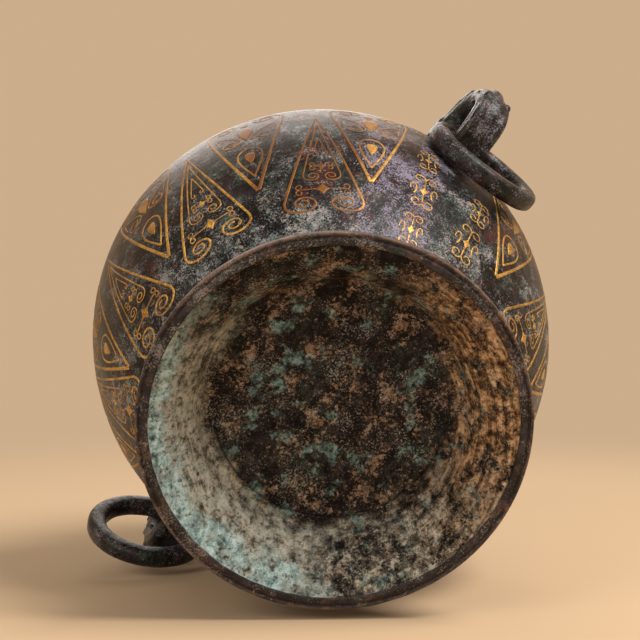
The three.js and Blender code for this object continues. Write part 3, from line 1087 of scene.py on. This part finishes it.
def recess_patina():
    """The inside of the foot and the jar's base: mottled earth, turquoise, azurite and rust, with
    painted light and shade on the wall.
    """
    s = Shader("recess_patina")
    radius = s.from_axis()
    blotch = s.noise(7, 31, 10, 0.78)
    clouds = s.noise(20, 32, 7, 0.62)
    grain = s.noise(0.9, 33, 6, 0.76)
    speckle = s.noise(1.7, 42, 9, 0.82)
    fine = s.noise(3.6, 45, 10, 0.8)
    streaks = s.streaks(2.4, 46)

    # The base: black with cool, tan, pale and teal grains
    s.color = s.ramp(
        blotch, (0.36, 0.002, 0.0015, 0.0015), (0.48, 0.006, 0.004, 0.0045),
        (0.56, 0.022, 0.015, 0.015), (0.68, 0.085, 0.064, 0.058),
    )
    s.coat((0.045, 0.062, 0.05), s.step(clouds, 0.5, 0.6), s.step(fine, 0.46, 0.58), 0.6)
    tan = s.plus(speckle, s.centred(s.noise(14, 34, 8, 0.72), 0.95))
    s.coat(s.ramp(
        fine, (0.4, 0.17, 0.09, 0.045), (0.52, 0.4, 0.27, 0.175),
        (0.64, 0.56, 0.45, 0.35),
    ), s.step(tan, 0.55, 0.605), 0.8)
    pale = s.plus(grain, s.centred(s.noise(13, 43, 7, 0.7), 0.5))
    s.coat((0.42, 0.39, 0.34), s.step(pale, 0.575, 0.64), 0.7)
    teal = s.times(s.spots(13, 35, 9, 0.7, 0.55, 0.615), s.step(speckle, 0.36, 0.56))
    s.coat(s.ramp(fine, (0.42, 0.06, 0.13, 0.115), (0.58, 0.32, 0.5, 0.47)), teal, 0.72)

    # The wall: rust on one side, beige below and on the other, turquoise towards the rim. The beige
    # and pale coats at 140 and 212 degrees are partly painted light, and the side between about 280
    # and 350 degrees gets none of them, left dark as painted shade
    def side(degrees, low, high):
        return s.step(s.plus(s.towards(degrees), s.centred(clouds, 1.0)), low, high)

    wander = s.centred(clouds, 0.024)
    wall = s.step(s.plus(radius, wander), 0.05, 0.059)
    outer = s.step(s.plus(radius, wander), 0.0635, 0.07)
    left = side(212, 0.3, 0.8)
    low = side(140, 0.3, 0.85)
    right = side(52, 0.4, 0.85)
    turquoise = s.ramp(
        s.noise(4, 36, 10, 0.76), (0.36, 0.04, 0.06, 0.054), (0.44, 0.19, 0.29, 0.28),
        (0.54, 0.44, 0.62, 0.61), (0.66, 0.7, 0.8, 0.78),
    )
    beige = s.ramp(
        s.weighted((s.noise(4, 37, 10, 0.78), 0.75), (streaks, 0.25)),
        (0.41, 0.014, 0.011, 0.008), (0.47, 0.13, 0.112, 0.08),
        (0.53, 0.4, 0.36, 0.28), (0.63, 0.68, 0.64, 0.54),
    )
    rust = s.ramp(
        s.weighted((s.noise(5, 38, 10, 0.78), 0.62), (streaks, 0.38)),
        (0.41, 0.01, 0.006, 0.004), (0.47, 0.12, 0.06, 0.028),
        (0.53, 0.5, 0.29, 0.14), (0.61, 0.72, 0.53, 0.34),
    )
    s.coat(rust, wall, right, s.step(blotch, 0.42, 0.54))
    s.coat(beige, wall, low, s.step(blotch, 0.44, 0.56))
    s.coat(beige, wall, left, s.step(blotch, 0.34, 0.48))
    # Pale spots on the wall at 212 degrees: painted light where light falls into the recess
    s.coat((0.6, 0.62, 0.53), wall, left, s.spots(5, 47, 9, 0.76, 0.44, 0.54), 0.5)
    s.coat(turquoise, outer, left, s.step(blotch, 0.38, 0.52))
    azurite = s.times(s.below(s.cells(9, 39), 0.1, 0.26), s.step(blotch, 0.42, 0.56))
    s.coat((0.045, 0.12, 0.19), outer, left, azurite, 0.8)
    s.coat((0.008, 0.006, 0.005), s.spots(2.4, 40, 9, 0.8, 0.53, 0.58), 0.75)

    # A thin dark line where the foot's fillet meets the base
    seam = s.math("SUBTRACT", s.weighted((wander, 0.04), base=radius), 0.05)
    seam = s.below(s.math("ABSOLUTE", seam), 0.0002, 0.0008)
    s.coat((0.006, 0.005, 0.004), seam, s.step(clouds, 0.42, 0.6), 0.5)
    roughness = s.weighted((fine, 0.36), base=0.38)
    ridges = s.times(wall, streaks)
    height = s.weighted((grain, 0.35), (fine, 0.9), (speckle, 0.45), (ridges, 0.35))
    return s.finish(roughness, height, depth_mm=0.85, specular=0.12)


def rim_patina():
    """The foot's worn rim and outside."""
    s = Shader("rim_patina")
    blotch = s.noise(7, 51, 9, 0.76)
    grain = s.noise(0.8, 52, 5, 0.74)
    coarse = s.noise(2.2, 55, 9, 0.8)
    s.color = s.ramp(
        blotch, (0.34, 0.003, 0.002, 0.0025), (0.48, 0.01, 0.007, 0.008),
        (0.6, 0.034, 0.025, 0.029), (0.74, 0.08, 0.062, 0.068),
    )
    wear = s.spots(10, 53, 8, 0.7, 0.53, 0.61)
    s.coat((0.13, 0.062, 0.04), wear, s.step(coarse, 0.42, 0.56), 0.8)
    moss = s.spots(13, 56, 8, 0.7, 0.56, 0.63)
    s.coat((0.06, 0.1, 0.075), moss, s.step(coarse, 0.45, 0.58), 0.6)
    pale = s.plus(grain, s.centred(s.noise(12, 54, 7, 0.7), 0.8))
    s.coat((0.33, 0.28, 0.25), s.step(pale, 0.555, 0.63), 0.6)
    # The outer edge of the lip is painted a warm brown, partly rubbed metal and partly a painted
    # highlight along the bead
    lip = s.step(s.from_axis(), 0.0795, 0.0806)
    s.coat((0.21, 0.12, 0.085), lip, s.spots(9, 57, 6, 0.7, 0.4, 0.6), 0.65)
    roughness = s.weighted((coarse, 0.4), base=0.16)
    height = s.weighted((grain, 0.4), (coarse, 0.6), (blotch, 0.6))
    return s.finish(roughness, height, depth_mm=0.5, specular=0.3)


def cast_patina(name, seed, red, green=0.6):
    """Lugs and rings: smooth green-black bronze with grey-green crust, violet and rust spots and
    pale grains.
    """
    s = Shader(name)
    blotch = s.noise(6, seed, 8, 0.7)
    grain = s.noise(0.8, seed + 1, 5, 0.74)
    coarse = s.noise(2.0, seed + 7, 8, 0.78)
    s.color = s.ramp(
        blotch, (0.34, 0.002, 0.0025, 0.002), (0.48, 0.005, 0.006, 0.005),
        (0.6, 0.015, 0.018, 0.014), (0.74, 0.042, 0.045, 0.038),
    )
    crust = s.times(s.spots(8, seed + 2, 9, 0.74, 0.53, 0.6), s.step(coarse, 0.43, 0.56))
    s.coat((0.095, 0.14, 0.105), crust, green)
    violet = s.spots(13, seed + 5, 6, 0.66, 0.46, 0.58)
    s.coat((0.075, 0.048, 0.062), violet, s.step(coarse, 0.4, 0.58), 0.4)
    rust = s.spots(11, seed + 3, 7, 0.65, 0.53, 0.6)
    s.coat((0.085, 0.022, 0.014), rust, s.step(coarse, 0.38, 0.54), red)
    pale = s.plus(grain, s.centred(s.noise(9, seed + 4, 7, 0.7), 0.8))
    s.coat((0.33, 0.28, 0.32), s.step(pale, 0.565, 0.64), 0.55)
    roughness = s.weighted((coarse, 0.36), (crust, 0.2), base=0.12)
    height = s.weighted((grain, 0.25), (coarse, 0.5), (blotch, 0.9))
    return s.finish(roughness, height, depth_mm=0.42, specular=0.22)


def gold(name):
    """Rubbed gold of uneven tone, browned in patches, towards the top of the band and on the
    pendants at one side.
    """
    s = Shader(name)
    rub = s.noise(1.0, 72, 6, 0.74)
    s.color = s.ramp(
        rub, (0.34, 0.24, 0.1, 0.018), (0.48, 0.5, 0.275, 0.055),
        (0.62, 0.8, 0.52, 0.15),
    )
    s.coat((0.19, 0.078, 0.02), s.spots(10, 71, 8, 0.74, 0.44, 0.62), 0.68)
    # Browner towards the top of the band
    s.coat((0.23, 0.088, 0.02), s.step(s.place()[2], 0.07, 0.125), 0.6)
    # The pendants to the right of the middle have lost most of their gold
    faded = s.step(s.towards(318), 0.955, 0.975)
    s.coat((0.155, 0.05, 0.016), faded, s.spots(6, 75, 6, 0.7, 0.22, 0.46), 0.85)
    s.coat((0.03, 0.02, 0.014), s.spots(1.8, 73, 7, 0.76, 0.56, 0.66), 0.75)
    roughness = s.weighted((rub, 0.34), base=0.3)
    height = s.weighted((rub, 0.6), (s.noise(5, 74, 5), 0.5))
    return s.finish(roughness, height, depth_mm=0.14, metallic=0.65, specular=0.5)


# ---------------------------------------------------------------- making the part
def paint(obj, *materials):
    for material in materials:
        obj.data.materials.append(material)


body = jar_body()
collar = neck_collar()
foot = foot_ring()
lid_top = lid()
knob = lid_knob()
lug_right = lug("lug_right_cast", "lug_right", 0)
lug_left = lug("lug_left_cast", "lug_left", 180)
ring_right = loose_ring("ring_right_cast", "ring_right", "ring_right", 21)
ring_left = loose_ring("ring_left_cast", "ring_left", "ring_left", 25)
inlays = gold_inlay()

recess_material = recess_patina()
paint(body, patina(
    "belly_patina", 3, brown_above=(0.085, 0.14), dust_below=(0.04, 0.072), sheen=343,
), recess_material)
for face in body.data.polygons:
    if face.center.z < (BASE_HEIGHT + 0.5) * MM and face.normal.z < -0.9:
        face.material_index = 1
paint(foot, rim_patina(), recess_material)
paint(collar, patina("collar_patina", 83, brown_above=(0.1, 0.2), green=0.6))
lid_material = patina("lid_patina", 103, brown_above=(0.1, 0.23), green=0.55)
paint(lid_top, lid_material)
paint(knob, lid_material)
lug_material = cast_patina("lug_patina", 61, red=0.3)
paint(lug_right, lug_material)
paint(lug_left, lug_material)
paint(ring_right, cast_patina("ring_right_patina", 91, red=0.75, green=0.3))
paint(ring_left, cast_patina("ring_left_patina", 131, red=0.45, green=0.55))
gold_material = gold("gold_inlay")
for inlay in inlays:
    paint(inlay, gold_material)

# ---------------------------------------------------------------- floor, backdrop and lights
PALE = (0.60, 0.42, 0.26)
FLOOR_REACH = 1.0
FLOOR_FADES_FROM = 0.45
FLOOR_GONE_AT = 0.95
FLOOR_TILT = 0.0166
FLOOR_CLEARANCE = 0.0002


def lowest_along(direction):
    """How far the frame's solids reach against a direction, in metres."""
    return min(
        min(vertex.co.dot(direction) for vertex in node.data.vertices)
        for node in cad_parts.values()
    )


def floor_material():
    """Pale where it is seen from above, clear from below, and fading out far from the jar."""
    s = Shader("pale_floor")
    surface = s.node("ShaderNodeBsdfDiffuse", {"Color": (*PALE, 1)})
    clear = s.node("ShaderNodeBsdfTransparent")
    below = s.node("ShaderNodeNewGeometry").outputs["Backfacing"]
    distance = s.node("ShaderNodeVectorMath", {0: s.coords}, operation="LENGTH").outputs["Value"]
    hidden = s.math("MAXIMUM", below, s.step(distance, FLOOR_FADES_FROM, FLOOR_GONE_AT))
    mixed = s.node("ShaderNodeMixShader", {0: hidden, 1: surface.outputs[0], 2: clear.outputs[0]})
    s.node("ShaderNodeOutputMaterial", {"Surface": mixed.outputs[0]})
    return s.material


def floor(name, up, level):
    reach = FLOOR_REACH / MM
    corners = [(-reach, -reach, 0), (reach, -reach, 0), (reach, reach, 0), (-reach, reach, 0)]
    obj = mesh_object(name, corners, [[0, 1, 2, 3]], False)
    obj.rotation_mode = "QUATERNION"
    obj.rotation_quaternion = up.to_track_quat("Z", "Y")
    obj.location = up * level
    paint(obj, floor_material())


floor_up = (IMAGE_UP - LOOK * FLOOR_TILT).normalized()
floor("floor_on_its_side", floor_up, lowest_along(floor_up) - FLOOR_CLEARANCE)


def soft_light(name, towards, distance, size, power, color):
    data = bpy.data.lights.new(name, "AREA")
    data.shape = "DISK"
    data.size = size
    data.energy = power
    data.color = color
    light = bpy.data.objects.new(name, data)
    bpy.context.scene.collection.objects.link(light)
    light.location = Vector((0, 0, 0.1)) + towards * distance
    light.rotation_mode = "QUATERNION"
    light.rotation_quaternion = towards.to_track_quat("Z", "Y")


soft_light("key_light", from_view(0.50, 0.80, 0.30), 1.4, 0.7, 23, (1.0, 0.97, 0.93))
soft_light("fill_light", from_view(-0.6, 0.45, 0.8), 1.5, 0.9, 8, (1.0, 0.96, 0.90))
above = Vector((0.15, -0.2, 0.97)).normalized()
soft_light("top_light", above, 1.5, 0.9, 5.5, (1.0, 0.98, 0.96))


def pale_world():
    """Pale where the camera and reflections see it, and a low even light elsewhere."""
    world = bpy.data.worlds.new("pale_world")
    bpy.context.scene.world = world
    world.use_nodes = True
    s = Nodes(world.node_tree)
    path = s.node("ShaderNodeLightPath").outputs
    reflected = s.math("MAXIMUM", path["Is Glossy Ray"], path["Is Transmission Ray"])
    seen = s.math("MAXIMUM", path["Is Camera Ray"], reflected)
    shown = s.node("ShaderNodeBackground", {"Color": (*PALE, 1)})
    ambient = s.node("ShaderNodeBackground", {"Color": (1, 0.95, 0.9, 1), "Strength": 0.38})
    mixed = s.node("ShaderNodeMixShader", {0: seen, 1: ambient.outputs[0], 2: shown.outputs[0]})
    s.node("ShaderNodeOutputWorld", {"Surface": mixed.outputs[0]})


pale_world()
bpy.context.scene.view_settings.view_transform = "Standard"
